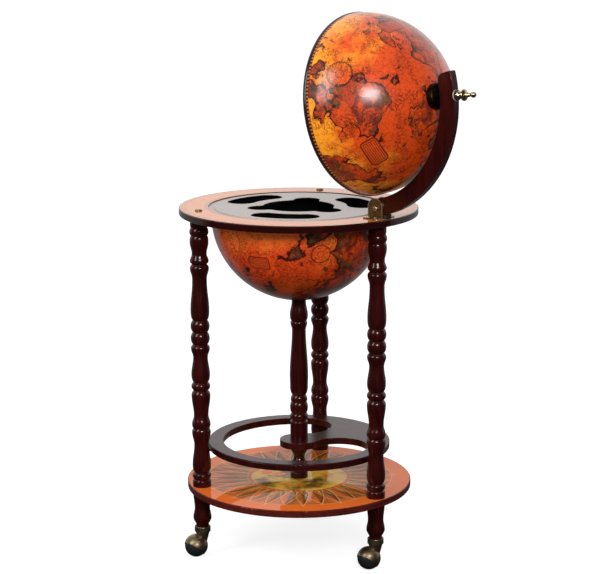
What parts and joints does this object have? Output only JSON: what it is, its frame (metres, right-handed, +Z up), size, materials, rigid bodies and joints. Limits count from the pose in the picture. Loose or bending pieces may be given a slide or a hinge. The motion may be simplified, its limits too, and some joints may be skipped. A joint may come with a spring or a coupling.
{
  "type": "globe drinks cabinet",
  "caption": "Floor-standing globe bar with an opening lid on a curved arm, a tray insert, a bottle rack and a shelf, on turned legs with ball casters.",
  "frame": {"origin": "on the floor, under the middle of the globe", "axes": "+Z up; +X from the middle of the globe towards the hinge of the lid"},
  "size_m": [0.6375, 0.45, 1.0378],
  "materials": {
    "dark_wood": "glossy dark mahogany lacquer",
    "print_wood": "glossy lacquer over a printed paper face",
    "print_shell": "glossy lacquer over a printed paper face",
    "tray": "satin moulding",
    "trim": "gloss",
    "antique_brass": "antiqued",
    "polished_brass": "polished",
    "hub_metal": "dark bronze paint",
    "steel": "zinc plated",
    "nylon": "natural",
    "black_rubber": "matt",
    "black_ball": "satin"
  },
  "bodies": {
    "stand": {"ring_table": "print_wood", "shelf": "print_wood", "bowl_shell": "print_shell", "tray_insert": "tray", "bottle_rack": "dark_wood", "spindle_upper": "dark_wood", "spindle_lower": "dark_wood", "stop_block": "black_rubber", "rack_dowels": "dark_wood", "rack_peg": "dark_wood", "bolt_caps": "antique_brass", "hinge_bracket_near": "antique_brass", "hinge_bracket_far": "antique_brass", "hinge_pin": "antique_brass", "hinge_screws": "antique_brass", "hinge_washers": "nylon", "ring_bolts": "steel", "shelf_studs": "steel", "bowl_screw": "steel", "bowl_washer": "steel", "shelf_screw": "steel", "leg_1": "dark_wood", "foot_1": "dark_wood", "caster_socket_1": "antique_brass", "leg_2": "dark_wood", "foot_2": "dark_wood", "caster_socket_2": "antique_brass", "leg_3": "dark_wood", "foot_3": "dark_wood", "caster_socket_3": "antique_brass"},
    "arm": {"arm": "dark_wood", "arm_bushing": "polished_brass", "pole_stud": "steel", "stud_nut": "steel", "finial": "polished_brass", "finial_washer": "nylon", "finial_ring": "black_rubber"},
    "hub": {"pole_hub": "hub_metal", "hub_ring_nut": "hub_metal"},
    "lid": {"lid_shell": "print_shell", "lid_rim_trim": "trim"},
    "hood_1": {"caster_hood_1": "antique_brass", "caster_stem_1": "steel", "caster_axle_1": "steel"},
    "wheel_1": {"caster_wheel_1": "black_ball"},
    "hood_2": {"caster_hood_2": "antique_brass", "caster_stem_2": "steel", "caster_axle_2": "steel"},
    "wheel_2": {"caster_wheel_2": "black_ball"},
    "hood_3": {"caster_hood_3": "antique_brass", "caster_stem_3": "steel", "caster_axle_3": "steel"},
    "wheel_3": {"caster_wheel_3": "black_ball"}
  },
  "joints": [
    {"name": "arm_hinge", "type": "hinge", "parent": "stand", "child": "arm", "pos_m": [0.1986, 0, 0.6874], "axis": [0, -1, 0], "range_deg": [0, 84.4]},
    {"name": "lid_rock", "type": "hinge", "parent": "arm", "child": "hub", "pos_m": [0.33806, 0, 0.90063], "axis": [0, 1, 0], "range_deg": [0, 3.4]},
    {"name": "lid_spin", "type": "hinge", "parent": "hub", "child": "lid", "pos_m": [0.16146, 0, 0.87266], "axis": [0.9877, 0, 0.1564], "continuous": true},
    {"name": "caster_swivel_1", "type": "hinge", "parent": "stand", "child": "hood_1", "pos_m": [0.194, 0, 0.05], "axis": [0, 0, 1], "continuous": true},
    {"name": "wheel_roll_1", "type": "hinge", "parent": "hood_1", "child": "wheel_1", "pos_m": [0.187, -0.011, 0.0215], "axis": [-0.0058, -0.6691, -0.7431], "continuous": true},
    {"name": "caster_swivel_2", "type": "hinge", "parent": "stand", "child": "hood_2", "pos_m": [-0.097, 0.16801, 0.05], "axis": [0, 0, 1], "continuous": true},
    {"name": "wheel_roll_2", "type": "hinge", "parent": "hood_2", "child": "wheel_2", "pos_m": [-0.104, 0.15701, 0.0215], "axis": [-0.0058, -0.6691, -0.7431], "continuous": true},
    {"name": "caster_swivel_3", "type": "hinge", "parent": "stand", "child": "hood_3", "pos_m": [-0.097, -0.16801, 0.05], "axis": [0, 0, 1], "continuous": true},
    {"name": "wheel_roll_3", "type": "hinge", "parent": "hood_3", "child": "wheel_3", "pos_m": [-0.104, -0.17901, 0.0215], "axis": [-0.0058, -0.6691, -0.7431], "continuous": true}
  ],
  "couplings": [
    {"joint": "lid_rock", "follows": "arm_hinge", "ratio": 0.040284}
  ]
}
